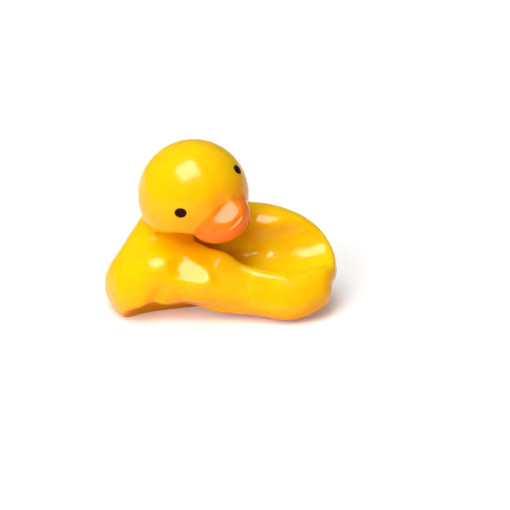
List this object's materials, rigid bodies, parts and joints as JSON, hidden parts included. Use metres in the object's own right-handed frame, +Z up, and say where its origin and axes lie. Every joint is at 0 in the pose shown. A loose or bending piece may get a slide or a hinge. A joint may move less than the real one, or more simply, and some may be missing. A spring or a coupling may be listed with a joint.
{
  "type": "squishy duck toy",
  "caption": "Soft squeeze toy in the shape of a duck, kept in the pressed shape that a hand gave it, with a long thumb groove beside its head.",
  "frame": {"origin": "under the middle of the toy's box, in the flat face that it rests on", "axes": "+Z up, +X along the toy's length from the full round end under the head towards the open end of the thumb groove, -Y towards the flank that has rolled out in front"},
  "size_m": [0.0892, 0.052, 0.0665],
  "materials": {
    "yellow_skin": "glossy soft rubber, yellow, with an orange painted bill and dark painted eyes"
  },
  "bodies": {
    "root": {"duck": "yellow_skin"}
  },
  "joints": []
}
